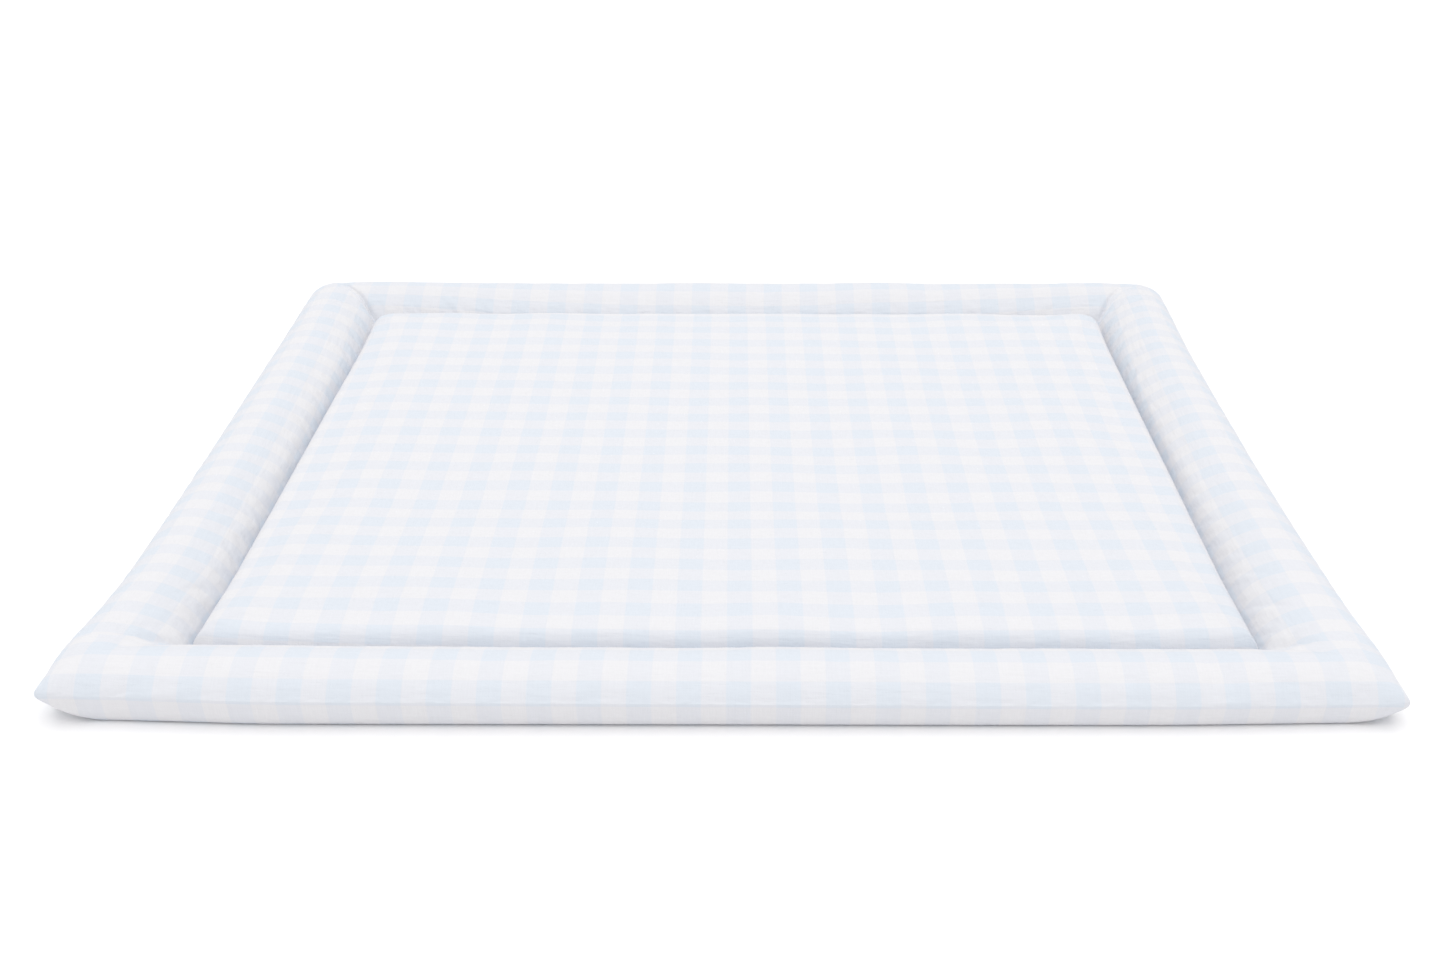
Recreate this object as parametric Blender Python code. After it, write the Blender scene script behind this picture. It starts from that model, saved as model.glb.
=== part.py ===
"""Padded play mat: a filled centre pad inside a stuffed border, lying flat.

Metres, +Z up, front of the mat towards -Y, origin in the middle of its underside. Each filled
compartment is one closed solid. Its top follows one height field for the whole mat, so that
neighbours meet at the same height. Its underside is flat where it rests and lifts to the seams.
"""

import math

import bpy

# Driving sizes
PAD_WIDTH = 1.024
PAD_DEPTH = 0.876
BORDER = 0.101
DRAWN_IN = 0.010
DRAW_REACH = 0.16
FRONT_BOW = 0.004
SEAM_GAP = 0.0003

# Heights of the seams and of the filled crowns
OUTER_SEAM_HEIGHT = 0.0275
FRONT_SEAM_FALL = 0.0030
INNER_SEAM_HEIGHT = 0.0195
SEAM_THICKNESS = 0.0026
ROLL_CROWN = 0.0250
ROLL_LEAN = 0.80
ROLL_FULLNESS = 0.82
PAD_CROWN = 0.0185
PAD_MIDDLE_RISE = 0.0030
PAD_ROUNDING = 0.018
PAD_SHOULDER = 2.3
PAD_FULLNESS = 0.85

# How the underside lifts: round to the outer seam, in a hollow to the inner one, curled at the tips
OUTER_LIFT_REACH = 0.021
INNER_LIFT_REACH = 0.030
INNER_LIFT_POWER = 2.4
TIP_CURL = {
    "left": {"height": 0.0120, "reach": 0.140},
    "right": {"height": 0.0105, "reach": 0.085},
}
CURL_POWER = 2.7

# Radii of the rounded corners, in plan
TIP_RADIUS = {"front": 0.005, "back": 0.036}
PAD_CORNER = {"front": 0.014, "back": 0.034}

# Creases where the lengths of border meet, from the corners of the inner seam outwards
CREASE_DEPTH = 0.0080
CREASE_HALF_WIDTH = 0.0090
CREASE_REACH = 0.042
BUTT_STEP = 0.024
BUTT_EASE = 0.060

# Rows and columns of the meshes
ACROSS_BORDER = (0.0, 0.012, 0.045, 0.10, 0.19, 0.30, 0.42, 0.54, 0.66, 0.78, 0.88, 0.96, 1.0)
END_STEPS = (0.0, 0.004, 0.011, 0.021, 0.035, 0.056)
PAD_END_STEPS = (0.0, 0.002, 0.006, 0.012, 0.020, 0.036)
PAD_COLUMNS = 26
PAD_ROWS = 22
LONG_COLUMNS = 30
SIDE_ROWS = 24

HALF_PAD_X = PAD_WIDTH / 2
HALF_PAD_Y = PAD_DEPTH / 2
HALF_X = HALF_PAD_X + BORDER
HALF_Y = HALF_PAD_Y + BORDER

# Soft hollows (-) and swells (+) of the filling: place, reach both ways and height, in metres
SWELLS = (
    {"x": -0.30, "y": -0.17, "reach_x": 0.17, "reach_y": 0.060, "height": -0.0022},
    {"x": 0.14, "y": -0.19, "reach_x": 0.20, "reach_y": 0.055, "height": -0.0026},
    {"x": 0.38, "y": 0.05, "reach_x": 0.12, "reach_y": 0.100, "height": 0.0014},
    {"x": -0.12, "y": 0.22, "reach_x": 0.16, "reach_y": 0.080, "height": 0.0016},
    {"x": 0.24, "y": 0.30, "reach_x": 0.12, "reach_y": 0.070, "height": -0.0014},
    {"x": -0.40, "y": 0.10, "reach_x": 0.10, "reach_y": 0.120, "height": 0.0012},
    {"x": -0.42, "y": -0.49, "reach_x": 0.090, "reach_y": 0.040, "height": 0.0014},
    {"x": -0.16, "y": -0.49, "reach_x": 0.070, "reach_y": 0.040, "height": -0.0010},
    {"x": 0.10, "y": -0.49, "reach_x": 0.080, "reach_y": 0.040, "height": 0.0008},
    {"x": 0.435, "y": -0.50, "reach_x": 0.013, "reach_y": 0.032, "height": -0.0028},
    {"x": 0.475, "y": -0.50, "reach_x": 0.013, "reach_y": 0.030, "height": -0.0018},
    {"x": -0.565, "y": -0.30, "reach_x": 0.040, "reach_y": 0.060, "height": -0.0016},
    {"x": -0.565, "y": 0.00, "reach_x": 0.040, "reach_y": 0.080, "height": 0.0012},
    {"x": 0.565, "y": -0.12, "reach_x": 0.040, "reach_y": 0.070, "height": -0.0014},
    {"x": 0.565, "y": 0.26, "reach_x": 0.040, "reach_y": 0.080, "height": 0.0010},
    {"x": -0.25, "y": 0.49, "reach_x": 0.090, "reach_y": 0.040, "height": -0.0012},
    {"x": 0.20, "y": 0.49, "reach_x": 0.110, "reach_y": 0.040, "height": 0.0012},
)

# Cloth finishes: colour, roughness
CLOTHS = {
    "centre_pad": {"colour": (0.84, 0.88, 0.93, 1.0), "roughness": 0.86},
    "bolster_front": {"colour": (0.80, 0.85, 0.91, 1.0), "roughness": 0.86},
    "bolster_left": {"colour": (0.82, 0.86, 0.92, 1.0), "roughness": 0.86},
    "bolster_right": {"colour": (0.82, 0.86, 0.92, 1.0), "roughness": 0.86},
    "bolster_back": {"colour": (0.83, 0.87, 0.92, 1.0), "roughness": 0.86},
}


def ease(value):
    """Go smoothly from 0 to 1 as value does."""
    value = min(max(value, 0.0), 1.0)
    return value * value * (3.0 - 2.0 * value)


def mix(start, end, share):
    return start + (end - start) * share


def half_width(y):
    """Half the mat's width at y: full at the corners, drawn in along the side."""
    return HALF_X - DRAWN_IN * ease((HALF_PAD_Y - abs(y)) / DRAW_REACH)


def front_edge(x):
    """Where the front seam lies: bowed forward between the corner tips."""
    return -HALF_Y + FRONT_BOW * ease(abs(x) / HALF_X) ** 2


def butt_line(x):
    """Where the front length meets a side one: from the inner corner, stepping forward outwards."""
    return -HALF_PAD_Y - BUTT_STEP * ease((abs(x) - HALF_PAD_X) / BUTT_EASE)


def swell(x, y):
    """Sum of the soft hollows and swells at a place."""
    total = 0.0
    for spot in SWELLS:
        across = (x - spot["x"]) / spot["reach_x"]
        along = (y - spot["y"]) / spot["reach_y"]
        total += spot["height"] * math.exp(-across * across - along * along)
    return total


def crease(x, y):
    """Depth of the creases that run outwards from the inner seam's corners."""
    out_x = abs(x) - HALF_PAD_X
    out_y = abs(y) - HALF_PAD_Y
    if out_x <= -CREASE_HALF_WIDTH:
        return 0.0
    if y < 0.0:
        side = y - butt_line(x)
        away = max(out_x, 0.0)
    else:
        side = (out_x - out_y) / math.sqrt(2.0)
        away = max(out_x + out_y, 0.0) / math.sqrt(2.0)
    fade = math.exp(-((away / CREASE_REACH) ** 2))
    return CREASE_DEPTH * fade * math.exp(-((side / CREASE_HALF_WIDTH) ** 2))


def border_place(x, y):
    """Distances to the outer seam and to the inner seam from a place on the border."""
    end = -front_edge(x) if y < 0.0 else HALF_Y
    to_outer = min(half_width(y) - abs(x), end - abs(y))
    out_x = abs(x) - HALF_PAD_X
    out_y = abs(y) - HALF_PAD_Y
    if out_x > 0.0 and out_y > 0.0:
        to_inner = math.hypot(out_x, out_y)
    else:
        to_inner = max(out_x, out_y)
    return max(to_outer, 0.0), max(to_inner, 0.0)


def outer_seam(x, y):
    """Height of the outer seam, which falls to the right in front."""
    return OUTER_SEAM_HEIGHT - FRONT_SEAM_FALL * x / HALF_X * ease(-y / HALF_PAD_Y)


def blunt_corner(x, y):
    """Move a place near one of the mat's square corners to where the rounded corner has it."""
    radius = TIP_RADIUS["front" if y < 0.0 else "back"]
    end = -front_edge(x) if y < 0.0 else HALF_Y
    in_x = (abs(x) - HALF_X) / radius + 1.0
    in_y = (abs(y) - end) / radius + 1.0
    if in_x <= 0.0 or in_y <= 0.0:
        return x, y
    shrink = max(in_x, in_y) / math.hypot(in_x, in_y)
    round_x = HALF_X + radius * (in_x * shrink - 1.0)
    round_y = end + radius * (in_y * shrink - 1.0)
    return math.copysign(round_x, x), math.copysign(round_y, y)


def border_top(x, y):
    to_outer, to_inner = border_place(x, y)
    share = to_outer / (to_outer + to_inner)
    seam = mix(outer_seam(x, y) + SEAM_THICKNESS / 2, INNER_SEAM_HEIGHT, share)
    bulge = max(math.sin(math.pi * share ** ROLL_LEAN), 0.0) ** ROLL_FULLNESS
    loose = min(2.0 * bulge, 1.0)
    return seam + ROLL_CROWN * bulge + loose * (swell(x, y) - crease(x, y))


def outer_lift(x, y, to_outer):
    """Height of the underside near the outer seam, where the roll is round."""
    inward = min(to_outer / OUTER_LIFT_REACH, 1.0)
    height = outer_seam(x, y) - SEAM_THICKNESS / 2
    return height * (1.0 - math.sqrt(1.0 - (1.0 - inward) ** 2))


def inner_lift(to_inner):
    """Height of the underside near the inner seam, which the stitching draws up."""
    near = max(1.0 - to_inner / INNER_LIFT_REACH, 0.0)
    return (INNER_SEAM_HEIGHT - SEAM_THICKNESS) * near ** INNER_LIFT_POWER


def tip_curl(x, y):
    """Height to which the underside curls up towards the corner tips."""
    curl = TIP_CURL["left" if x < 0.0 else "right"]
    to_tip = math.hypot(HALF_X - abs(x), HALF_Y - abs(y))
    return curl["height"] * max(1.0 - to_tip / curl["reach"], 0.0) ** CURL_POWER


def border_underside(x, y):
    to_outer, to_inner = border_place(x, y)
    return max(outer_lift(x, y, to_outer), inner_lift(to_inner), tip_curl(x, y))


def pad_rounding(distance):
    """Share of the pad's crown that is reached at a distance from its seam."""
    return (1.0 - max(1.0 - distance / PAD_ROUNDING, 0.0) ** PAD_SHOULDER) ** PAD_FULLNESS


def pad_distance(x, y):
    """Distance to the pad's seam, measured as if the seam's corners were rounded."""
    radius = PAD_CORNER["front" if y < 0.0 else "back"]
    in_x = abs(x) - HALF_PAD_X + radius
    in_y = abs(y) - HALF_PAD_Y + radius
    if in_x > 0.0 and in_y > 0.0:
        return max(radius - math.hypot(in_x, in_y), 0.0)
    return max(radius - max(in_x, in_y), 0.0)


def pad_top(x, y):
    filled = pad_rounding(pad_distance(x, y))
    middle = (1.0 - (x / HALF_PAD_X) ** 2) * (1.0 - (y / HALF_PAD_Y) ** 2)
    return INNER_SEAM_HEIGHT + filled * (PAD_CROWN + swell(x, y)) + PAD_MIDDLE_RISE * middle


def pad_underside(x, y):
    return inner_lift(max(min(HALF_PAD_X - abs(x), HALF_PAD_Y - abs(y)), 0.0))


def cloth_material(name):
    cloth = CLOTHS[name]
    material = bpy.data.materials.new(name + "_cloth")
    material.use_nodes = True
    shader = material.node_tree.nodes["Principled BSDF"]
    shader.inputs["Base Color"].default_value = cloth["colour"]
    shader.inputs["Roughness"].default_value = cloth["roughness"]
    shader.inputs["Metallic"].default_value = 0.0
    material.diffuse_color = cloth["colour"]
    return material


def filled_solid(name, plan, top, underside):
    """Make one closed solid over a plan, a grid of (x, y) places that turns counterclockwise."""
    rows = len(plan)
    columns = len(plan[0])
    points = []
    for surface in (top, underside):
        for row in plan:
            for x, y in row:
                points.append((*blunt_corner(x, y), surface(x, y)))

    def upper(row, column):
        return row * columns + column

    def lower(row, column):
        return rows * columns + upper(row, column)

    faces = []
    for row in range(rows - 1):
        for column in range(columns - 1):
            ring = ((row, column), (row, column + 1), (row + 1, column + 1), (row + 1, column))
            faces.append([upper(*corner) for corner in ring])
            faces.append([lower(*corner) for corner in reversed(ring)])
    edge = [(0, column) for column in range(columns - 1)]
    edge += [(row, columns - 1) for row in range(rows - 1)]
    edge += [(rows - 1, column) for column in range(columns - 1, 0, -1)]
    edge += [(row, 0) for row in range(rows - 1, 0, -1)]
    for start, end in zip(edge, edge[1:] + edge[:1]):
        faces.append([upper(*end), upper(*start), lower(*start), lower(*end)])

    mesh = bpy.data.meshes.new(name)
    mesh.from_pydata(points, [], faces)
    mesh.validate()
    mesh.shade_smooth()
    mesh.set_sharp_from_angle(angle=math.radians(50.0))
    mesh.materials.append(cloth_material(name))
    solid = bpy.data.objects.new(name, mesh)
    bpy.context.scene.collection.objects.link(solid)
    return solid


def stations(length, count, end_steps=END_STEPS):
    """Shares of a length at which grid lines lie, closer together near both of its ends."""
    near = [step / length for step in end_steps]
    middle = [mix(near[-1], 1.0 - near[-1], step / count) for step in range(1, count)]
    return near + middle + [1.0 - share for share in reversed(near)]


def centre_pad():
    edge_x = HALF_PAD_X - SEAM_GAP / 2
    edge_y = HALF_PAD_Y - SEAM_GAP / 2
    across = stations(PAD_WIDTH, PAD_COLUMNS, PAD_END_STEPS)
    deep = stations(PAD_DEPTH, PAD_ROWS, PAD_END_STEPS)
    columns = [mix(-edge_x, edge_x, share) for share in across]
    rows = [mix(-edge_y, edge_y, share) for share in deep]
    plan = [[(x, y) for x in columns] for y in rows]
    return filled_solid("centre_pad", plan, pad_top, pad_underside)


def bolster_front():
    """The front length: its ends take in the corners as far as the butt lines."""
    inner = [mix(-HALF_PAD_X, HALF_PAD_X, share) for share in stations(PAD_WIDTH, LONG_COLUMNS)[1:-1]]
    ear = [mix(HALF_PAD_X, HALF_X, share) for share in ACROSS_BORDER]
    columns = [-x for x in reversed(ear)] + inner + ear
    plan = []
    for share in ACROSS_BORDER:
        plan.append([(x, mix(front_edge(x), butt_line(x) - SEAM_GAP / 2, share)) for x in columns])
    return filled_solid("bolster_front", plan, border_top, border_underside)


def bolster_side(name, sign):
    """A side length: from the butt line in front to the mitre behind."""
    plan = []
    for along in stations(PAD_DEPTH, SIDE_ROWS):
        row = []
        for share in ACROSS_BORDER:
            guide = mix(HALF_PAD_X, HALF_X, share)
            front = butt_line(guide) + SEAM_GAP / 2
            mitre = mix(HALF_PAD_Y, HALF_Y, share) - 2.0 * SEAM_GAP
            y = mix(front, mitre, along)
            x = mix(HALF_PAD_X + SEAM_GAP / 2, half_width(y), share)
            row.append((sign * x, y))
        plan.append(row if sign > 0 else row[::-1])
    return filled_solid(name, plan, border_top, border_underside)


def bolster_back():
    """The back length, mitred at both ends."""
    plan = []
    for share in ACROSS_BORDER:
        y = mix(HALF_PAD_Y + SEAM_GAP / 2, HALF_Y, share)
        reach = mix(HALF_PAD_X, HALF_X, share)
        plan.append([(mix(-reach, reach, share), y) for share in stations(PAD_WIDTH, LONG_COLUMNS)])
    return filled_solid("bolster_back", plan, border_top, border_underside)


for leftover in list(bpy.data.objects):
    bpy.data.objects.remove(leftover)
centre_pad()
bolster_front()
bolster_side("bolster_left", -1)
bolster_side("bolster_right", 1)
bolster_back()
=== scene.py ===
# %% [markdown]
# # A padded play mat
#
# This lesson dresses a gingham play mat: a filled centre pad inside a stuffed border, lying flat on
# a pale floor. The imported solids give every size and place. Each filled compartment is then made
# again as a fine bag of cloth, filled by Blender's cloth simulation, puckered along its seams and
# given woven cotton that follows the cloth.

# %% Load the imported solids
import math

import bpy
import numpy as np
from mathutils import Matrix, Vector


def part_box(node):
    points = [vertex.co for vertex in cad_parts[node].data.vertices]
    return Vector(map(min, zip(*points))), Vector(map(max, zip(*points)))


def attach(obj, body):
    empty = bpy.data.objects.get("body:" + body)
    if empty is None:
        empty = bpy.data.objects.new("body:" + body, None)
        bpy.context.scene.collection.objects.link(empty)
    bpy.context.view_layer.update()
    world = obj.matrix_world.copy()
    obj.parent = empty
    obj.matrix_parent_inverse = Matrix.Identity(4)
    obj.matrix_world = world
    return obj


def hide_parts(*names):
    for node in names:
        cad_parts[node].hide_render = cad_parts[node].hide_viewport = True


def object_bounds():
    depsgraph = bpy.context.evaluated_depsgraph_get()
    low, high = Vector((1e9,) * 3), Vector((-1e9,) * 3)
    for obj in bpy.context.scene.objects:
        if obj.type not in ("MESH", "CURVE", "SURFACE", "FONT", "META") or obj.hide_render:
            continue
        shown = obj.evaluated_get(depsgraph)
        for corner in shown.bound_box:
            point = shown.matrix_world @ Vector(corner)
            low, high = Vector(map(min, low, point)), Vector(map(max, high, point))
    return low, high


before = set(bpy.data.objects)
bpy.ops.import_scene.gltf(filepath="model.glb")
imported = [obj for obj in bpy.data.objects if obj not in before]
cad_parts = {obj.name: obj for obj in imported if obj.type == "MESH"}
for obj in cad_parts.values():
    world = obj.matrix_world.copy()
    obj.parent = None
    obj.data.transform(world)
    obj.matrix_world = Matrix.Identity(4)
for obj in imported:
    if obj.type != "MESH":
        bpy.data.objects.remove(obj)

cad_low, cad_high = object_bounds()
print("solids reach from", tuple(cad_low), "to", tuple(cad_high))

# %% [markdown]
# ## Sizes
#
# The pad's box and the whole mat's box come from the solids, so the fine cloth can't drift away
# from them. The border is one length in front that runs the full width, two side lengths that butt
# against it, and a back length with mitred ends.

# %% Measure the mat
pad_low, pad_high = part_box("centre_pad")
HALF_PAD_X = pad_high[0]
HALF_PAD_Y = pad_high[1]
HALF_X = cad_high[0]
HALF_Y = cad_high[1]
BORDER = HALF_X - HALF_PAD_X

print(f"pad {2 * HALF_PAD_X:.3f} by {2 * HALF_PAD_Y:.3f} m, border {BORDER:.3f} m wide")

# %% [markdown]
# ## One height for every place
#
# A stuffed mat is easiest to describe as a height over each place of its plan. Across the border the
# cloth climbs from the outer seam, rounds over a crown that leans outwards, and drops into the inner
# seam. Modelling it so, in place of pulling points about by hand, keeps neighbours level where they
# meet. NumPy works on all the points at once.

# %% Small helpers for arrays


def ease(value):
    """Go smoothly from 0 to 1 as value does."""
    value = np.clip(value, 0.0, 1.0)
    return value * value * (3.0 - 2.0 * value)


def mix(start, end, share):
    """Go from start to end as share goes from 0 to 1."""
    return start + (end - start) * share


# %% [markdown]
# ## Seams
#
# Two seams carry the whole form. The outer one runs round the mat at about half the border's
# height and sits a little lower at the front's right end. The inner one joins the border to the pad.
# The front length's end seams step forward from the pad's corners, because the side lengths butt
# against it there. Each seam is a plain function of place, so neighbours agree on it.

# %% Seams of the mat in plan
OUTER_SEAM = 0.0288
FRONT_SEAM_FALL = 0.0030
INNER_SEAM = 0.0195
BUTT_STEP = 0.024
BUTT_EASE = 0.060


def butt_line(x):
    """Where the front length of border meets a side one."""
    return -HALF_PAD_Y - BUTT_STEP * ease((np.abs(x) - HALF_PAD_X) / BUTT_EASE)


def outer_seam(x, y):
    """Height of the outer seam, which falls to the right in front."""
    return OUTER_SEAM - FRONT_SEAM_FALL * x / HALF_X * ease(-y / HALF_PAD_Y)


def border_place(x, y):
    """Distances to the outer seam and to the inner seam from places on the border."""
    to_outer = np.minimum(HALF_X - np.abs(x), HALF_Y - np.abs(y))
    out_x = np.abs(x) - HALF_PAD_X
    out_y = np.abs(y) - HALF_PAD_Y
    corner = (out_x > 0.0) & (out_y > 0.0)
    to_inner = np.where(corner, np.hypot(out_x, out_y), np.maximum(out_x, out_y))
    return np.maximum(to_outer, 0.0), np.maximum(to_inner, 0.0)


seam_ends = outer_seam(np.array([-HALF_X, HALF_X]), np.array([-HALF_Y, -HALF_Y]))
print(f"outer seam in front: {1000 * seam_ends[0]:.1f} mm high at left, {1000 * seam_ends[1]:.1f} at right")

# %% [markdown]
# ## Soft hollows and swells
#
# Filling never lies evenly. A short table of soft spots, each with a place, a reach and a height,
# gives the gentle waves across the pad and along the border, and the two upright wrinkles near the
# right end of the front border.

# %% Table of soft spots
SWELLS = (
    {"x": -0.30, "y": -0.17, "reach_x": 0.17, "reach_y": 0.045, "height": -0.0026},
    {"x": 0.12, "y": -0.175, "reach_x": 0.24, "reach_y": 0.034, "height": -0.0034},
    {"x": 0.05, "y": -0.245, "reach_x": 0.26, "reach_y": 0.040, "height": 0.0012},
    {"x": 0.38, "y": 0.05, "reach_x": 0.12, "reach_y": 0.100, "height": 0.0014},
    {"x": -0.12, "y": 0.22, "reach_x": 0.16, "reach_y": 0.080, "height": 0.0016},
    {"x": 0.24, "y": 0.30, "reach_x": 0.12, "reach_y": 0.070, "height": -0.0014},
    {"x": -0.40, "y": 0.10, "reach_x": 0.10, "reach_y": 0.120, "height": 0.0012},
    {"x": -0.42, "y": -0.49, "reach_x": 0.090, "reach_y": 0.040, "height": 0.0014},
    {"x": -0.16, "y": -0.49, "reach_x": 0.070, "reach_y": 0.040, "height": -0.0010},
    {"x": 0.10, "y": -0.49, "reach_x": 0.080, "reach_y": 0.040, "height": 0.0008},
    {"x": 0.441, "y": -0.515, "reach_x": 0.006, "reach_y": 0.020, "height": -0.0018},
    {"x": 0.455, "y": -0.515, "reach_x": 0.006, "reach_y": 0.020, "height": -0.0014},
    {"x": -0.565, "y": -0.30, "reach_x": 0.040, "reach_y": 0.060, "height": -0.0016},
    {"x": -0.565, "y": 0.00, "reach_x": 0.040, "reach_y": 0.080, "height": 0.0012},
    {"x": 0.565, "y": -0.12, "reach_x": 0.040, "reach_y": 0.070, "height": -0.0014},
    {"x": 0.565, "y": 0.26, "reach_x": 0.040, "reach_y": 0.080, "height": 0.0010},
    {"x": -0.25, "y": 0.49, "reach_x": 0.090, "reach_y": 0.040, "height": -0.0012},
    {"x": 0.20, "y": 0.49, "reach_x": 0.110, "reach_y": 0.040, "height": 0.0012},
)


def swell(x, y):
    """Sum of the soft hollows and swells at each place."""
    total = np.zeros_like(x)
    for spot in SWELLS:
        across = (x - spot["x"]) / spot["reach_x"]
        along = (y - spot["y"]) / spot["reach_y"]
        total += spot["height"] * np.exp(-across * across - along * along)
    return total


print(len(SWELLS), "soft spots")

# %% [markdown]
# ## Creases at the corners
#
# Where the lengths of border are sewn together, the cloth dips into a crease that is deepest at the
# corner of the inner seam and fades outwards. In front it runs sideways over the side roll, and
# behind it follows the mitre. Each corner also has its own soft folds, drawn in by the turn of the
# seam. They are troughs along short paths, one row for each fold.

# %% Creases where the lengths of border meet
CREASE_DEPTH = 0.0060
CREASE_HALF_WIDTH = 0.0065
CREASE_REACH = 0.032


def crease(x, y):
    """Depth of the creases that run outwards from the inner seam's corners."""
    out_x = np.abs(x) - HALF_PAD_X
    out_y = np.abs(y) - HALF_PAD_Y
    front = y < 0.0
    side = np.where(front, y - butt_line(x), (out_x - out_y) / math.sqrt(2.0))
    diagonal = np.maximum(out_x + out_y, 0.0) / math.sqrt(2.0)
    away = np.where(front, np.maximum(out_x, 0.0), diagonal)
    depth = CREASE_DEPTH * np.exp(-((away / CREASE_REACH) ** 2) - (side / CREASE_HALF_WIDTH) ** 2)
    return np.where(out_x <= -CREASE_HALF_WIDTH, 0.0, depth)


# %% Folds at the corners
FOLD_FADE = 0.8
FOLDS = (
    {"path": ((-0.506, -0.445), (-0.525, -0.457), (-0.540, -0.460), (-0.572, -0.463)),
     "depth": 0.0046, "half_width": 0.0040},
    {"path": ((-0.520, -0.448), (-0.536, -0.450), (-0.555, -0.446), (-0.578, -0.434)),
     "depth": 0.0040, "half_width": 0.0045},
    {"path": ((-0.522, -0.436), (-0.538, -0.430), (-0.556, -0.417)),
     "depth": 0.0022, "half_width": 0.0060},
    {"path": ((0.508, -0.444), (0.520, -0.456), (0.529, -0.463), (0.548, -0.473)),
     "depth": 0.0046, "half_width": 0.0040},
    {"path": ((0.519, -0.433), (0.528, -0.434), (0.540, -0.430), (0.565, -0.415)),
     "depth": 0.0036, "half_width": 0.0045},
    {"path": ((-0.511, 0.437), (-0.521, 0.452), (-0.536, 0.472), (-0.560, 0.496), (-0.580, 0.508)),
     "depth": 0.0085, "half_width": 0.0024},
    {"path": ((0.511, 0.437), (0.520, 0.452), (0.533, 0.472), (0.550, 0.492)),
     "depth": 0.0080, "half_width": 0.0024},
)


def fold(x, y, path, depth, half_width):
    """Depth of one trough along a path, which fades towards the path's end."""
    nearest = np.full_like(x, 1.0)
    travelled = np.zeros_like(x)
    steps = len(path) - 1
    for number in range(steps):
        (start_x, start_y), (end_x, end_y) = path[number], path[number + 1]
        run_x, run_y = end_x - start_x, end_y - start_y
        part = ((x - start_x) * run_x + (y - start_y) * run_y) / (run_x ** 2 + run_y ** 2)
        part = np.clip(part, 0.0, 1.0)
        distance = np.hypot(x - start_x - part * run_x, y - start_y - part * run_y)
        travelled = np.where(distance < nearest, (number + part) / steps, travelled)
        nearest = np.minimum(distance, nearest)
    fade = 1.0 - FOLD_FADE * ease(travelled)
    return depth * fade * np.exp(-((nearest / half_width) ** 2))


def folds(x, y):
    """Depth of all the folds together."""
    total = np.zeros_like(x)
    for row in FOLDS:
        total += fold(x, y, row["path"], row["depth"], row["half_width"])
    return total


print(len(FOLDS), "folds")

# %% [markdown]
# ## Small unevenness
#
# Wadding leaves low bumps of a hand's breadth under the cloth, and a line of stitching gathers the
# cloth into short puckers beside it. Both are sums of a few sine waves whose directions, lengths and
# starts come from a seeded generator, so every run gives the same mat.

# %% Waves for bumps and puckers


def random_waves(count, shortest, longest, seed):
    """Directions, lengths and starts of a few waves, one column each."""
    chance = np.random.default_rng(seed)
    direction = chance.uniform(0.0, 2.0 * math.pi, count)
    length = chance.uniform(shortest, longest, count)
    start = chance.uniform(0.0, 2.0 * math.pi, count)
    return direction, length, start


def bumps(x, y, waves):
    """Sum of plane waves at each place, mostly between -1 and 1."""
    total = np.zeros_like(x)
    for direction, length, start in zip(*waves):
        along = x * math.cos(direction) + y * math.sin(direction)
        total += np.sin(2.0 * math.pi * along / length + start)
    return total / math.sqrt(2.0 * len(waves[0]))


BROAD_WAVES = random_waves(9, 0.11, 0.24, 11)
SHORT_WAVES = random_waves(11, 0.035, 0.075, 12)
PUCKER_WAVES = random_waves(9, 0.014, 0.034, 13)
BROAD_BUMPS = 0.0009
SHORT_BUMPS = 0.00028
PUCKER_HEIGHT = 0.0004
PUCKER_REACH = 0.011


def unevenness(x, y):
    """Height of the wadding's low bumps."""
    return BROAD_BUMPS * bumps(x, y, BROAD_WAVES) + SHORT_BUMPS * bumps(x, y, SHORT_WAVES)


def puckers(x, y, to_seam):
    """Short gathers beside a seam. Along any seam only x or only y changes, so their sum serves."""
    along = x + y
    total = np.zeros_like(x)
    for length, start in zip(PUCKER_WAVES[1], PUCKER_WAVES[2]):
        total += np.sin(2.0 * math.pi * along / length + start)
    rise = (to_seam / PUCKER_REACH) * np.exp(1.0 - to_seam / PUCKER_REACH)
    return PUCKER_HEIGHT * rise * total / math.sqrt(2.0 * len(PUCKER_WAVES[1]))


print("puckers from", len(PUCKER_WAVES[1]), "waves, up to", 1000 * PUCKER_HEIGHT, "mm high")

# %% [markdown]
# ## Cross-section of the border
#
# The border's cloth leaves the outer seam almost upright, rounds over its crown and drops to the
# inner seam. There the stitching pulls the cloth down into a narrow groove, which looks dark because
# little light reaches it. The groove is deepest along the mat's sides.

# %% Upper side of the border
ROLL_CROWN = 0.0250
ROLL_LEAN = 0.80
ROLL_FULLNESS = 0.82
ROLL_UNEVENNESS = 0.6
GROOVE_DEPTH = {"ends": 0.0045, "sides": 0.0090}
GROOVE_WIDTH = {"border": 0.0042, "pad": 0.0018}
GROOVE_FADE = 0.03
CLOTH_EDGE = 0.0005


def groove(x, to_seam, kind):
    """Depth to which the stitching pulls the cloth down: most along the sides of the inner seam."""
    near_side = ease((np.abs(x) - HALF_PAD_X + GROOVE_FADE) / GROOVE_FADE)
    depth = mix(GROOVE_DEPTH["ends"], GROOVE_DEPTH["sides"], near_side)
    return depth * np.exp(-to_seam / GROOVE_WIDTH[kind])


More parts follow.
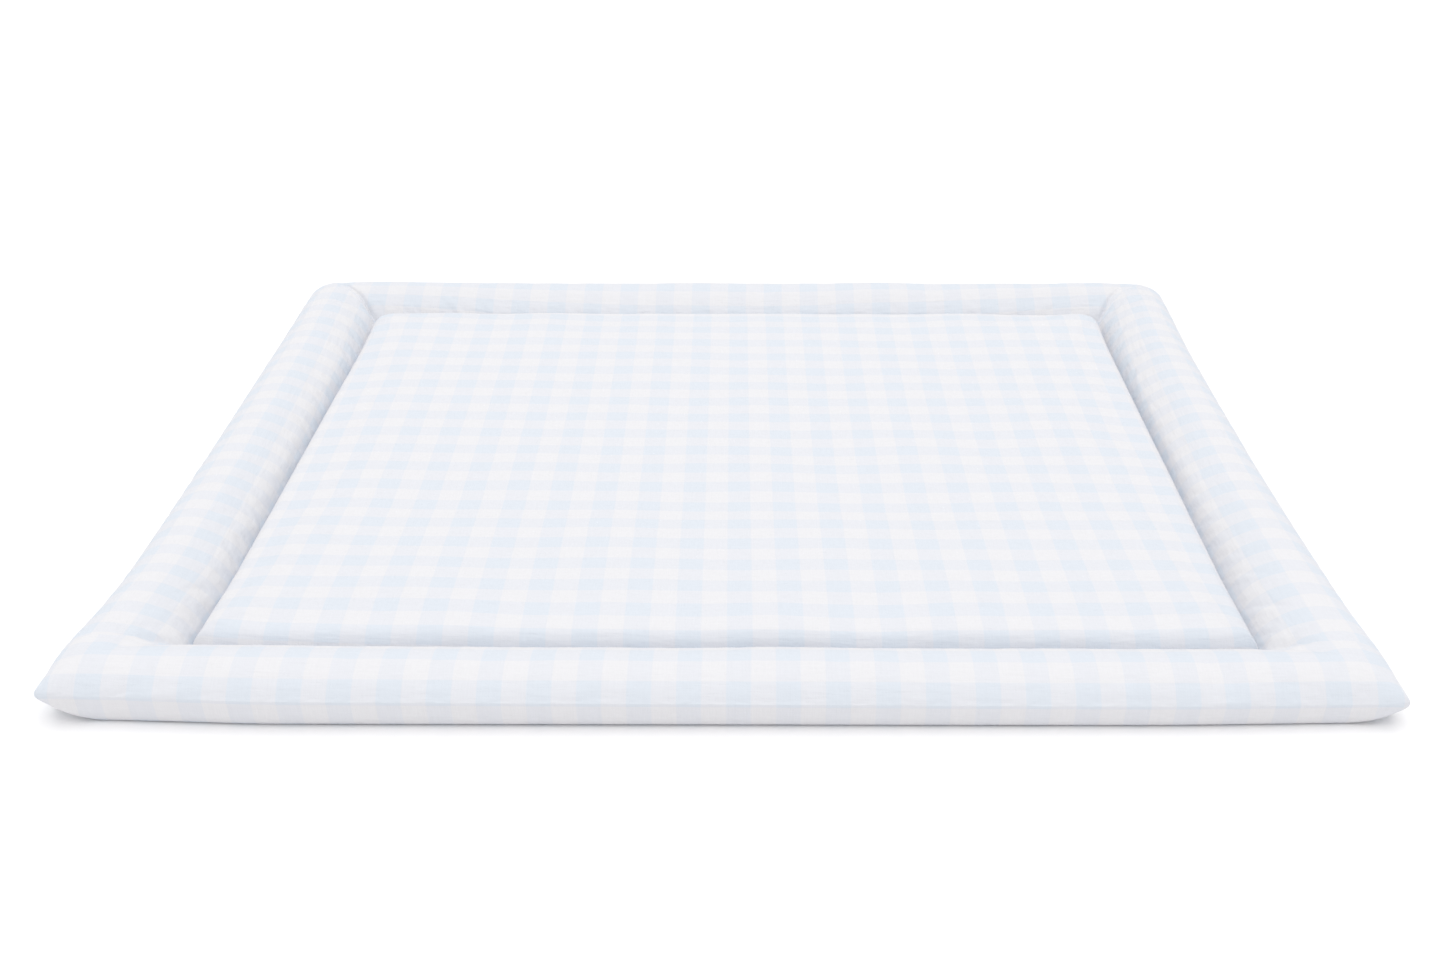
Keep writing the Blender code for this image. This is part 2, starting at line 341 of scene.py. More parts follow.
def border_top(x, y):
    """Height of the border's upper cloth."""
    to_outer, to_inner = border_place(x, y)
    share = to_outer / (to_outer + to_inner)
    seam = mix(outer_seam(x, y) + CLOTH_EDGE, INNER_SEAM, share)
    bulge = np.maximum(np.sin(math.pi * share ** ROLL_LEAN), 0.0) ** ROLL_FULLNESS
    loose = np.minimum(2.0 * bulge, 1.0)
    dip = crease(x, y) + folds(x, y) - swell(x, y) - ROLL_UNEVENNESS * unevenness(x, y)
    small = puckers(x, y, to_inner) - groove(x, to_inner, "border")
    return seam + ROLL_CROWN * bulge - loose * dip + small


across = np.linspace(HALF_PAD_Y, HALF_Y, 50)
print(f"crown of the back border: {1000 * border_top(np.zeros(50), across).max():.1f} mm high")

# %% [markdown]
# ## Underside of the border
#
# Below the outer seam the cloth turns in steeply and lies flat on the floor. It rises again to the
# inner seam, and at the corner tips it curls up to meet the outer one, so the tips stand off the
# floor.

# %% Lower side of the border
OUTER_LIFT_REACH = 0.016
OUTER_LIFT_POWER = 2.5
INNER_LIFT_REACH = 0.030
INNER_LIFT_POWER = 2.4
CURL_REACH = {"left": 0.075, "right": 0.110}
CURL_POWER = {"left": 2.4, "right": 4.5}


def outer_lift(x, y, to_outer):
    """Height of the underside near the outer seam, where the roll is round."""
    inward = np.minimum(to_outer / OUTER_LIFT_REACH, 1.0)
    fallen = (1.0 - (1.0 - inward) ** OUTER_LIFT_POWER) ** (1.0 / OUTER_LIFT_POWER)
    return (outer_seam(x, y) - CLOTH_EDGE) * (1.0 - fallen)


def inner_lift(to_inner):
    """Height of the underside near the inner seam, which the stitching draws up."""
    near = np.maximum(1.0 - to_inner / INNER_LIFT_REACH, 0.0)
    return (INNER_SEAM - GROOVE_DEPTH["sides"] - 2.0 * CLOTH_EDGE) * near ** INNER_LIFT_POWER


def tip_curl(x, y):
    """Height to which the underside curls up towards the corner tips, where it meets the seam."""
    reach = np.where(x < 0.0, CURL_REACH["left"], CURL_REACH["right"])
    power = np.where(x < 0.0, CURL_POWER["left"], CURL_POWER["right"])
    near = 1.0 - np.hypot(HALF_X - np.abs(x), HALF_Y - np.abs(y)) / reach
    return (outer_seam(x, y) - CLOTH_EDGE) * np.maximum(near, 0.0) ** power


def border_underside(x, y):
    """Height of the border's lower cloth."""
    to_outer, to_inner = border_place(x, y)
    rolled = np.maximum(outer_lift(x, y, to_outer), inner_lift(to_inner))
    return np.maximum(rolled, tip_curl(x, y))


print(f"underside beside the inner seam: {1000 * inner_lift(0.0):.1f} mm high")

# %% [markdown]
# ## Cross-section of the pad
#
# The pad is nearly as high beside its seam as in its middle, so it has a short rounded shoulder and
# then a broad, almost level top. Its back corners are round and its front ones nearly square.

# %% Both sides of the pad
PAD_CROWN = 0.0185
PAD_MIDDLE_RISE = 0.0030
PAD_ROUNDING = {"front": 0.021, "back": 0.018}
PAD_SHOULDER = 2.3
PAD_FULLNESS = 0.85
PAD_CORNER = {"front": 0.005, "back": 0.034}


def pad_rounding(y, distance):
    """Share of the pad's crown that is reached at a distance from its seam."""
    width = mix(PAD_ROUNDING["front"], PAD_ROUNDING["back"], 0.5 + 0.5 * y / HALF_PAD_Y)
    return (1.0 - np.maximum(1.0 - distance / width, 0.0) ** PAD_SHOULDER) ** PAD_FULLNESS


def pad_distance(x, y):
    """Distance to the pad's seam, measured as if the seam's corners were rounded."""
    radius = np.where(y < 0.0, PAD_CORNER["front"], PAD_CORNER["back"])
    in_x = np.abs(x) - HALF_PAD_X + radius
    in_y = np.abs(y) - HALF_PAD_Y + radius
    corner = (in_x > 0.0) & (in_y > 0.0)
    inside = radius - np.where(corner, np.hypot(in_x, in_y), np.maximum(in_x, in_y))
    return np.maximum(inside, 0.0)


def pad_top(x, y):
    """Height of the pad's upper cloth."""
    to_seam = pad_distance(x, y)
    middle = (1.0 - (x / HALF_PAD_X) ** 2) * (1.0 - (y / HALF_PAD_Y) ** 2)
    crown = PAD_CROWN + swell(x, y) + unevenness(x, y)
    small = puckers(x, y, to_seam) - groove(x, to_seam, "pad")
    return INNER_SEAM + pad_rounding(y, to_seam) * crown + PAD_MIDDLE_RISE * middle + small


def pad_underside(x, y):
    """Height of the pad's lower cloth."""
    from_side = HALF_PAD_X - np.abs(x)
    from_end = HALF_PAD_Y - np.abs(y)
    return inner_lift(np.maximum(np.minimum(from_side, from_end), 0.0))


print(f"middle of the pad: {1000 * pad_top(np.zeros(1), np.zeros(1))[0]:.1f} mm high")

# %% [markdown]
# ## A bag of cloth
#
# A filled compartment is two layers of cloth sewn round their edge. Here it starts as a plain grid,
# the upper layer, and an extrusion of all of it adds the lower layer and the narrow edge between
# them. A voxel remesh would make a bag too, but it would blunt the seams and lose the cloth's own
# coordinates, which carry the gingham. Those coordinates are lengths along the cloth, in metres,
# kept in a UV map, so that the squares stay square over the crown.

# %% Add a grid and extrude it into a bag


def add_bag(name, columns, rows):
    """A closed bag and each point's column, row, layer (True for the upper) and place on the rim."""
    bpy.ops.object.select_all(action="DESELECT")
    bpy.ops.mesh.primitive_grid_add(x_subdivisions=columns, y_subdivisions=rows, size=1.0)
    bag = bpy.context.object
    bag.name = name
    bag.data.name = name
    bpy.ops.object.mode_set(mode="EDIT")
    bpy.ops.mesh.select_all(action="SELECT")
    bpy.ops.mesh.extrude_region_move(TRANSFORM_OT_translate={"value": (0.0, 0.0, -1.0)})
    bpy.ops.object.mode_set(mode="OBJECT")
    face_outwards()
    places = get_points(bag)
    column = np.rint((places[:, 0] + 0.5) * columns).astype(int)
    row = np.rint((places[:, 1] + 0.5) * rows).astype(int)
    upper = places[:, 2] > -0.5
    rim = (column == 0) | (column == columns) | (row == 0) | (row == rows)
    keep_rims(bag, rim, upper)
    return bag, column, row, upper, rim


def face_outwards():
    """Turn all faces of the active piece outwards."""
    bpy.ops.object.mode_set(mode="EDIT")
    bpy.ops.mesh.select_all(action="SELECT")
    bpy.ops.mesh.normals_make_consistent(inside=False)
    bpy.ops.object.mode_set(mode="OBJECT")


def keep_rims(bag, rim, upper):
    """Crease the edges of both layers, so that smoothing keeps the seams where they are sewn."""
    ends = np.empty(2 * len(bag.data.edges), dtype=int)
    bag.data.edges.foreach_get("vertices", ends)
    ends = ends.reshape(-1, 2)
    on_rim = rim[ends].all(axis=1) & (upper[ends[:, 0]] == upper[ends[:, 1]])
    crease_layer = bag.data.attributes.new("crease_edge", "FLOAT", "EDGE")
    crease_layer.data.foreach_set("value", on_rim.astype(float))
    sharp_layer = bag.data.attributes.new("sharp_edge", "BOOLEAN", "EDGE")
    sharp_layer.data.foreach_set("value", on_rim)


def get_points(piece):
    """Places of a piece's points, one row for each."""
    points = np.empty(3 * len(piece.data.vertices))
    piece.data.vertices.foreach_get("co", points)
    return points.reshape(-1, 3)


def set_points(piece, points):
    """Move a piece's points."""
    piece.data.vertices.foreach_set("co", points.ravel())
    piece.data.update()


# %% [markdown]
# ## From the straight plan to the mat's outline
#
# The cross-sections above are worked out on a straight plan. The real outline is drawn in along the
# sides, more on one side than on the other, the front bows forward on the left, the inner seam is
# pulled inwards between its corners, and the corner tips are blunt. One warp of the plan gives all
# of that to every piece alike, so their joins stay closed.

# %% Tables of the mat's outline
SIDES = (
    {"y": -0.539, "left": 0.0060, "right": 0.0045},
    {"y": -0.470, "left": 0.0070, "right": 0.0045},
    {"y": -0.400, "left": -0.0017, "right": -0.0002},
    {"y": -0.330, "left": -0.0057, "right": -0.0029},
    {"y": -0.200, "left": -0.0052, "right": -0.0066},
    {"y": -0.050, "left": -0.0035, "right": -0.0092},
    {"y": 0.150, "left": -0.0006, "right": -0.0080},
    {"y": 0.300, "left": 0.0012, "right": -0.0063},
    {"y": 0.450, "left": 0.0036, "right": -0.0002},
    {"y": 0.539, "left": 0.0040, "right": 0.0010},
)
FRONT = (
    {"x": -0.613, "forward": -0.0040},
    {"x": -0.560, "forward": -0.0032},
    {"x": -0.420, "forward": 0.0034},
    {"x": -0.200, "forward": 0.0027},
    {"x": 0.000, "forward": 0.0018},
    {"x": 0.200, "forward": 0.0012},
    {"x": 0.400, "forward": 0.0000},
    {"x": 0.500, "forward": -0.0030},
    {"x": 0.560, "forward": -0.0055},
    {"x": 0.613, "forward": -0.0066},
)
OUTLINE_STEP = 0.005
OUTLINE_SOFTNESS = 11


def soft_line(table, place, value):
    """One column of a table, smoothed, at even steps along the mat's edge."""
    ends = OUTLINE_SOFTNESS // 2
    steps = np.arange(-HALF_X, HALF_X + OUTLINE_STEP, OUTLINE_STEP)
    values = np.interp(steps, [row[place] for row in table], [row[value] for row in table])
    kernel = np.ones(OUTLINE_SOFTNESS) / OUTLINE_SOFTNESS
    return steps, np.convolve(np.pad(values, ends, mode="edge"), kernel, mode="valid")


LEFT_LINE = soft_line(SIDES, "y", "left")
RIGHT_LINE = soft_line(SIDES, "y", "right")
FRONT_LINE = soft_line(FRONT, "x", "forward")
print(f"outline moves: left {1000 * LEFT_LINE[1].min():.1f} to {1000 * LEFT_LINE[1].max():.1f} mm")

# %% Fit the straight plan to the outline
SEAM_DRAWN_IN = 0.0032
SEAM_DRAW_REACH = 0.15
SEAM_DRAW_WIDTH = 0.08
TIP_RADIUS = {"front": 0.005, "back": 0.036}
SEAM_NOTCH = 0.0002
TOUCHING = 1e-6


def fit_outline(x, y):
    """Move places from the straight plan to the mat's own plan."""
    past_seam = (np.abs(x) - HALF_PAD_X) / BORDER
    outer = np.where(x < 0.0, np.interp(y, *LEFT_LINE), np.interp(y, *RIGHT_LINE))
    inner = -SEAM_DRAWN_IN * ease((HALF_PAD_Y - np.abs(y)) / SEAM_DRAW_REACH)
    inside = inner * ease(1.0 + past_seam * BORDER / SEAM_DRAW_WIDTH)
    outwards = np.where(past_seam > 0.0, mix(inner, outer, past_seam), inside)
    forward = np.maximum((-y - HALF_PAD_Y) / BORDER, 0.0)
    return x + np.sign(x) * outwards, y - forward * np.interp(x, *FRONT_LINE)


def blunt_corners(x, y):
    """Turn the square corners of the straight plan into rounded ones."""
    radius = np.where(y < 0.0, TIP_RADIUS["front"], TIP_RADIUS["back"])
    in_x = np.maximum((np.abs(x) - HALF_X + radius) / radius, TOUCHING)
    in_y = np.maximum((np.abs(y) - HALF_Y + radius) / radius, TOUCHING)
    tip = (in_x > TOUCHING) & (in_y > TOUCHING)
    shrink = np.where(tip, np.maximum(in_x, in_y) / np.hypot(in_x, in_y), 1.0)
    round_x = np.sign(x) * (HALF_X - radius + radius * in_x * shrink)
    round_y = np.sign(y) * (HALF_Y - radius + radius * in_y * shrink)
    return np.where(tip, round_x, x), np.where(tip, round_y, y)


def draw_seam_in(x, y):
    """Pull the points on the mat's outline inwards, so that the outer seam is a fine crease."""
    on_side = HALF_X - np.abs(x) < TOUCHING
    on_end = HALF_Y - np.abs(y) < TOUCHING
    return x - np.sign(x) * SEAM_NOTCH * on_side, y - np.sign(y) * SEAM_NOTCH * on_end


# %% [markdown]
# ## Over the plan
#
# A bag takes its form in one step: each point of its grid gets a place on the straight plan, the
# height of its layer there, and then the outline's own plan. The lengths along the cloth are summed
# step by step over the same surface, as a tape laid over it would measure them.

# %% Shape the bag over its plan and lay out its cloth


def shape_bag(bag, column, row, upper, plan, top, underside):
    """Place the points over a plan: arrays of x and y with a row for each row of the grid."""
    plan_x, plan_y = plan
    x = plan_x[row, column]
    y = plan_y[row, column]
    z = np.where(upper, top(x, y), underside(x, y))
    x, y = fit_outline(*blunt_corners(*draw_seam_in(x, y)))
    set_points(bag, np.stack([x, y, z], axis=1))


def lengths_along(plan, height, axis):
    """Length of cloth from the first grid line, along one axis of the grid."""
    plan_x, plan_y = plan
    surface = np.stack([plan_x, plan_y, height(plan_x, plan_y)], axis=2)
    steps = np.linalg.norm(np.diff(surface, axis=axis), axis=2)
    start = np.zeros_like(np.take(steps, [0], axis=axis))
    return np.concatenate([start, np.cumsum(steps, axis=axis)], axis=axis)


def lay_cloth(bag, cloth_u, cloth_v):
    """Write each point's cloth coordinates into the bag's UV map."""
    layer = bag.data.uv_layers[0]
    layer.name = "cloth"
    loops = np.empty(len(bag.data.loops), dtype=int)
    bag.data.loops.foreach_get("vertex_index", loops)
    layer.data.foreach_set("uv", np.stack([cloth_u[loops], cloth_v[loops]], axis=1).ravel())


# %% [markdown]
# ## Filling the bag
#
# Cloth filled with wadding is tight across its width and has a little too much length along its
# seams, so it puckers there. The cloth modifier gives that: the seams are pinned, the cloth is
# allowed to be slightly larger than its bag, and a pressure inside pushes it out. The move of each
# point is capped, because nothing inside holds the two layers together. Then the low points settle
# a little, as the mat's weight presses its underside on the floor.

# %% Fill a bag by simulation
FRAMES = 20
SETTLING = 0.0022
SHORTEST_MOVE = 1e-9


def fill_bag(bag, pinned, growth, pressure, cap):
    """Inflate a copy of the bag with its seams pinned, and move the bag's points towards it."""
    trial = bpy.data.objects.new(bag.name + "_trial", bag.data.copy())
    bpy.context.scene.collection.objects.link(trial)
    group = trial.vertex_groups.new(name="seams")
    group.add([int(index) for index in np.flatnonzero(pinned)], 1.0, "REPLACE")
    cloth = trial.modifiers.new("filling", "CLOTH")
    settings = cloth.settings
    settings.quality = 6
    settings.mass = 0.2
    settings.tension_stiffness = 20.0
    settings.compression_stiffness = 20.0
    settings.shear_stiffness = 8.0
    settings.bending_stiffness = 0.3
    settings.use_pressure = True
    settings.uniform_pressure_force = pressure
    settings.shrink_min = -growth
    settings.vertex_group_mass = "seams"
    settings.effector_weights.gravity = 0.0
    scene = bpy.context.scene
    for number in range(1, FRAMES + 1):
        scene.frame_set(number)
    filled = trial.evaluated_get(bpy.context.evaluated_depsgraph_get())
    after = np.empty(3 * len(filled.data.vertices))
    filled.data.vertices.foreach_get("co", after)
    before = get_points(bag)
    move = after.reshape(-1, 3) - before
    length = np.linalg.norm(move, axis=1)
    move *= (np.minimum(length, cap) / np.maximum(length, SHORTEST_MOVE))[:, None]
    points = before + move
    near_floor = np.maximum(1.0 - points[:, 2] / OUTER_SEAM, 0.0)
    points[:, 2] = np.maximum(points[:, 2] - SETTLING * near_floor, 0.0)
    set_points(bag, points)
    bpy.data.objects.remove(trial)
    scene.frame_set(1)
    print(bag.name, f"filled: largest move {1000 * np.linalg.norm(move, axis=1).max():.1f} mm")


# %% [markdown]
# ## The centre pad
#
# The pad is one wide bag. Its grid lines crowd towards the seams, where the cloth bends most.

# %% Grid lines of the centre pad
NEAR_SEAM = (0.0, 0.0006, 0.0016, 0.0030, 0.0050, 0.0078, 0.0115, 0.0165, 0.0240)
PAD_COLUMNS = 100
PAD_ROWS = 84


def pad_lines(half, count):
    """Grid lines from one seam to the other: close together beside them and even between."""
    near = np.array(NEAR_SEAM)
    inner = np.linspace(-half + near[-1], half - near[-1], count + 1)
    return np.concatenate([-half + near[:-1], inner, half - near[-2::-1]])


print("widest step of the pad's grid:", round(2000 * HALF_PAD_X / PAD_COLUMNS, 1), "mm")

# %% [markdown]
# ## Cloth that lies a little askew
#
# Nobody lays a large piece of gingham dead straight. On this pad the columns lean, fan out a little
# towards the back, and the rows sag in the middle. Small pulls of the cloth's coordinates give that,
# each growing smoothly with the place, so that no square is torn.

# %% Make the centre pad
PAD_SLANT = 0.010
ROW_EASE = 0.15
PULL_SIDEWAYS = {"all": -0.0025, "deep": 0.0013}
PULL_SPREAD = {"all": -0.0041, "deep": -0.0034, "deeper": -0.0103, "right": 0.0045, "far": 0.0088}
PULL_BACK = {"all": 0.0050, "right": 0.0041, "far": -0.0105, "deep": 0.0122}


def eased(y):
    """Length of cloth from the middle to y: laid a little loosely in front and tightly behind."""
    return y - ROW_EASE * y * y


def column_pull(x, y):
    """How far the pad's cloth is pulled sideways: it fans out towards the back and the sides."""
    across = x / HALF_PAD_X
    deep = y / HALF_PAD_Y
    spread = PULL_SPREAD["all"] + PULL_SPREAD["deep"] * deep + PULL_SPREAD["deeper"] * deep ** 2
    spread += PULL_SPREAD["right"] * across + PULL_SPREAD["far"] * across ** 2
    return PULL_SIDEWAYS["all"] + PULL_SIDEWAYS["deep"] * deep + spread * across


def row_pull(x, y):
    """How far the pad's cloth is pulled backwards: its rows sag a little in the middle."""
    across = x / HALF_PAD_X
    sag = PULL_BACK["right"] * across + PULL_BACK["far"] * across ** 2
    return PULL_BACK["all"] + sag + PULL_BACK["deep"] * y / HALF_PAD_Y


def make_pad():
    """The centre pad's bag, and which of its points lie on its seam."""
    line_x = pad_lines(HALF_PAD_X, PAD_COLUMNS)
    line_y = pad_lines(HALF_PAD_Y, PAD_ROWS)
    columns = len(line_x) - 1
    rows = len(line_y) - 1
    bag, column, row, upper, seam = add_bag("pad_cloth", columns, rows)
    plan = np.meshgrid(line_x, line_y)
    shape_bag(bag, column, row, upper, plan, pad_top, pad_underside)
    length_x = lengths_along(plan, pad_top, 1)
    length_y = lengths_along(plan, pad_top, 0)
    length_x -= length_x[:, [columns // 2]]
    length_y -= length_y[[rows // 2], :]
    x = plan[0][row, column]
    y = plan[1][row, column]
    slant = PAD_SLANT * length_y[row, column]
    cloth_u = length_x[row, column] + slant + column_pull(x, y)
    lay_cloth(bag, cloth_u, eased(length_y[row, column]) + row_pull(x, y))
    return bag, seam


pad, pad_seam = make_pad()
print("pad:", len(pad.data.vertices), "points")

# %% [markdown]
# ## The border
#
# Each length of border has its own plan, and neighbours share the same lines where they meet, so
# that their joins stay closed. Across the border the lines crowd towards both seams. The cloth's
# first coordinate runs along the length and its second one across it, from the outer seam inwards.

# %% Plans of the four lengths of border
ACROSS_BORDER = (
    0.0, 0.0003, 0.0009, 0.0018, 0.0032, 0.0052, 0.0080, 0.0110, 0.0145, 0.0185, 0.0230, 0.0280,
    0.0335, 0.0390, 0.0445, 0.0500, 0.0555, 0.0610, 0.0660, 0.0710, 0.0755, 0.0795, 0.0830, 0.0862,
    0.0890, 0.0915, 0.0937, 0.0957, 0.0974, 0.0988, 0.0999, 0.1010,
)
LONG_COLUMNS = 210
SIDE_COLUMNS = 190
END_CROWDING = 0.60
SHARES = np.array(ACROSS_BORDER) / ACROSS_BORDER[-1]


def crowded(count):
    """Places from -1 to 1, closer together near both ends, where the folds are."""
    even = np.linspace(-1.0, 1.0, count + 1)
    return mix(even, np.sin(0.5 * math.pi * even), END_CROWDING)


def front_plan():
    """Plan of the front length: its end seams step forward beside the pad's corners."""
    ends = mix(HALF_X, HALF_PAD_X, SHARES)
    middle = HALF_PAD_X * crowded(LONG_COLUMNS)
    x = np.concatenate([-ends[:-1], middle, ends[-2::-1]])
    grid_x = np.repeat(x[None, :], len(SHARES), axis=0)
    return grid_x, mix(-HALF_Y, butt_line(grid_x), SHARES[:, None])


def back_plan():
    """Plan of the back length, with mitred ends."""
    share = SHARES[:, None]
    reach = mix(HALF_X, HALF_PAD_X, share)
    y = mix(HALF_Y, HALF_PAD_Y, share)
    return crowded(LONG_COLUMNS)[None, :] * reach, np.repeat(y, LONG_COLUMNS + 1, axis=1)


def side_plan(sign):
    """Plan of a side length, butted in front and mitred behind."""
    share = SHARES[:, None]
    along = 0.5 + 0.5 * crowded(SIDE_COLUMNS)[None, :]
    x = mix(HALF_X, HALF_PAD_X, share)
    y = mix(butt_line(x), mix(HALF_Y, HALF_PAD_Y, share), along)
    return sign * np.repeat(x, SIDE_COLUMNS + 1, axis=1), y


print("lines across the border:", len(SHARES))

# %% [markdown]
# ## Sewing the lengths
#
# All four lengths are made by one function, each from its own plan. A plan that runs from the outer
# seam inwards turns the bag inside out on some sides, so its faces are turned outwards again.

# %% Make the four lengths of border


def make_length(name, plan, along):
    """One length of border, and which of its points lie on a seam or a join."""
    columns = plan[0].shape[1] - 1
    rows = plan[0].shape[0] - 1
    bag, column, row, upper, seam = add_bag(name, columns, rows)
    shape_bag(bag, column, row, upper, plan, border_top, border_underside)
    over = lengths_along(plan, border_top, 0)
    under = lengths_along(plan, border_underside, 0)
    across = np.where(upper, over[row, column], -under[row, column])
    lay_cloth(bag, along[row, column], across)
    face_outwards()
    print(name, "made with", len(bag.data.vertices), "points")
    return bag, seam


plan = front_plan()
front, front_seam = make_length("border_front_cloth", plan, plan[0])
plan = back_plan()
back, back_seam = make_length("border_back_cloth", plan, plan[0])
plan = side_plan(-1.0)
left, left_seam = make_length("border_left_cloth", plan, eased(plan[1]))
plan = side_plan(1.0)
right, right_seam = make_length("border_right_cloth", plan, plan[1])

# %% [markdown]
# ## Fill and smooth
#
# The border is stuffed harder than the pad, so it gets twice the pressure, and each bag may move only
# a few millimetres. One level of subdivision then rounds the fine grid, while the creased rims keep
# the seams sharp.

# %% Fill all five bags
PAD_FILLING = {"growth": 0.004, "pressure": 1.5, "cap": 0.003}
BORDER_FILLING = {"growth": 0.004, "pressure": 3.0, "cap": 0.0018}
fill_bag(pad, pad_seam, **PAD_FILLING)
for bag, seam in ((front, front_seam), (back, back_seam), (left, left_seam), (right, right_seam)):
    fill_bag(bag, seam, **BORDER_FILLING)

# %% Smooth each bag once
for bag in (pad, front, back, left, right):
    bpy.ops.object.select_all(action="DESELECT")
    bag.select_set(True)
    bpy.context.view_layer.objects.active = bag
    finer = bag.modifiers.new("finer", "SUBSURF")
    finer.levels = 1
    finer.render_levels = 1
    bpy.ops.object.modifier_apply(modifier="finer")
    bpy.ops.object.shade_smooth()
    print(bag.name, "now has", len(bag.data.polygons), "faces")

# %% [markdown]
# ## Gingham
#
# Gingham is woven from bands of white and blue yarn both ways. Where two blue bands cross the square
# is full blue, and where one does it is half blue. The group below turns the cloth's coordinates
# into two soft-edged band masks and mixes the three tones.

# %% Helpers for node groups


def new_group(name, inputs, outputs):
    """A shader node group with named sockets, each given as name, socket type and value."""
    group = bpy.data.node_groups.new(name, "ShaderNodeTree")
    for label, kind, value in inputs:
        socket = group.interface.new_socket(name=label, in_out="INPUT", socket_type=kind)
        if value is not None:
            socket.default_value = value
    for label, kind in outputs:
        group.interface.new_socket(name=label, in_out="OUTPUT", socket_type=kind)
    return group, group.nodes.new("NodeGroupInput"), group.nodes.new("NodeGroupOutput")


def add_math(tree, operation, first, second=None):
    """A Math node whose operands are sockets or numbers."""
    node = tree.nodes.new("ShaderNodeMath")
    node.operation = operation
    for slot, operand in enumerate((first, second)):
        if operand is None:
            continue
        if isinstance(operand, (int, float)):
            node.inputs[slot].default_value = operand
        else:
            tree.links.new(operand, node.inputs[slot])
    return node.outputs[0]


def add_mix(tree, factor, first, second):
    """A colour Mix node between two sockets."""
    node = tree.nodes.new("ShaderNodeMix")
    node.data_type = "RGBA"
    tree.links.new(factor, node.inputs["Factor"])
    tree.links.new(first, node.inputs["A"])
    tree.links.new(second, node.inputs["B"])
    return node.outputs["Result"]


# %% A node group for the gingham
BAND_EDGE = 0.10


def band_mask(tree, along, period, phase):
    """1 on a blue band and 0 on a white one, with an edge a few yarns wide."""
    turns = add_math(tree, "SUBTRACT", add_math(tree, "DIVIDE", along, period), phase)
    wave = add_math(tree, "COSINE", add_math(tree, "MULTIPLY", turns, 2.0 * math.pi))
    edge = tree.nodes.new("ShaderNodeMapRange")
    edge.interpolation_type = "SMOOTHSTEP"
    edge.inputs["From Min"].default_value = -BAND_EDGE
    edge.inputs["From Max"].default_value = BAND_EDGE
    tree.links.new(wave, edge.inputs["Value"])
    return edge.outputs["Result"]


def make_gingham_group():
    """A group that turns cloth coordinates into the gingham's colour."""
    group, inside, outside = new_group(
        "gingham",
        [
            ("Cloth", "NodeSocketVector", None),
            ("Column Step", "NodeSocketFloat", 0.05),
            ("Column Start", "NodeSocketFloat", 0.0),
            ("Row Step", "NodeSocketFloat", 0.05),
            ("Row Start", "NodeSocketFloat", 0.0),
            ("White", "NodeSocketColor", (0.9, 0.9, 0.9, 1.0)),
            ("Half Blue", "NodeSocketColor", (0.8, 0.8, 0.9, 1.0)),
            ("Full Blue", "NodeSocketColor", (0.7, 0.8, 0.9, 1.0)),
        ],
        [("Color", "NodeSocketColor")],
    )
    parts = group.nodes.new("ShaderNodeSeparateXYZ")
    group.links.new(inside.outputs["Cloth"], parts.inputs[0])
    source = inside.outputs
    columns = band_mask(group, parts.outputs["X"], source["Column Step"], source["Column Start"])
    rows = band_mask(group, parts.outputs["Y"], source["Row Step"], source["Row Start"])
    either = add_math(group, "MAXIMUM", columns, rows)
    both = add_math(group, "MULTIPLY", columns, rows)
    tone = add_mix(group, either, source["White"], source["Half Blue"])
    tone = add_mix(group, both, tone, source["Full Blue"])
    group.links.new(tone, outside.inputs["Color"])
    return group


gingham = make_gingham_group()
print("gingham group has", len(gingham.nodes), "nodes")

# %% [markdown]
# ## Weave
#
# Up close the cotton is a plain weave with thicker yarns here and there, and washing leaves fine
# crinkles that run with the yarns. One group gives a height for all three, and a tint that streaks
# the colour slightly along the yarns.

# %% A node group for the weave
YARN_STEP = 0.0007
YARN_HEIGHT = 0.00006
SLUB_HEIGHT = 0.00012
CRINKLE_HEIGHT = 0.0012


def streaks(tree, cloth, across, along, detail):
    """Noise that is fine across the yarns and long along them."""
    stretch = tree.nodes.new("ShaderNodeVectorMath")
    stretch.operation = "MULTIPLY"
    stretch.inputs[1].default_value = (across, along, 1.0)
    tree.links.new(cloth, stretch.inputs[0])
    cloud = tree.nodes.new("ShaderNodeTexNoise")
    cloud.inputs["Scale"].default_value = 1.0
    cloud.inputs["Detail"].default_value = detail
    tree.links.new(stretch.outputs[0], cloud.inputs["Vector"])
    name = "Factor" if "Factor" in cloud.outputs else "Fac"
    return add_math(tree, "SUBTRACT", cloud.outputs[name], 0.5)


def yarn_wave(tree, along):
    """A wave that rises over one yarn and falls under the next."""
    return add_math(tree, "SINE", add_math(tree, "MULTIPLY", along, math.pi / YARN_STEP))


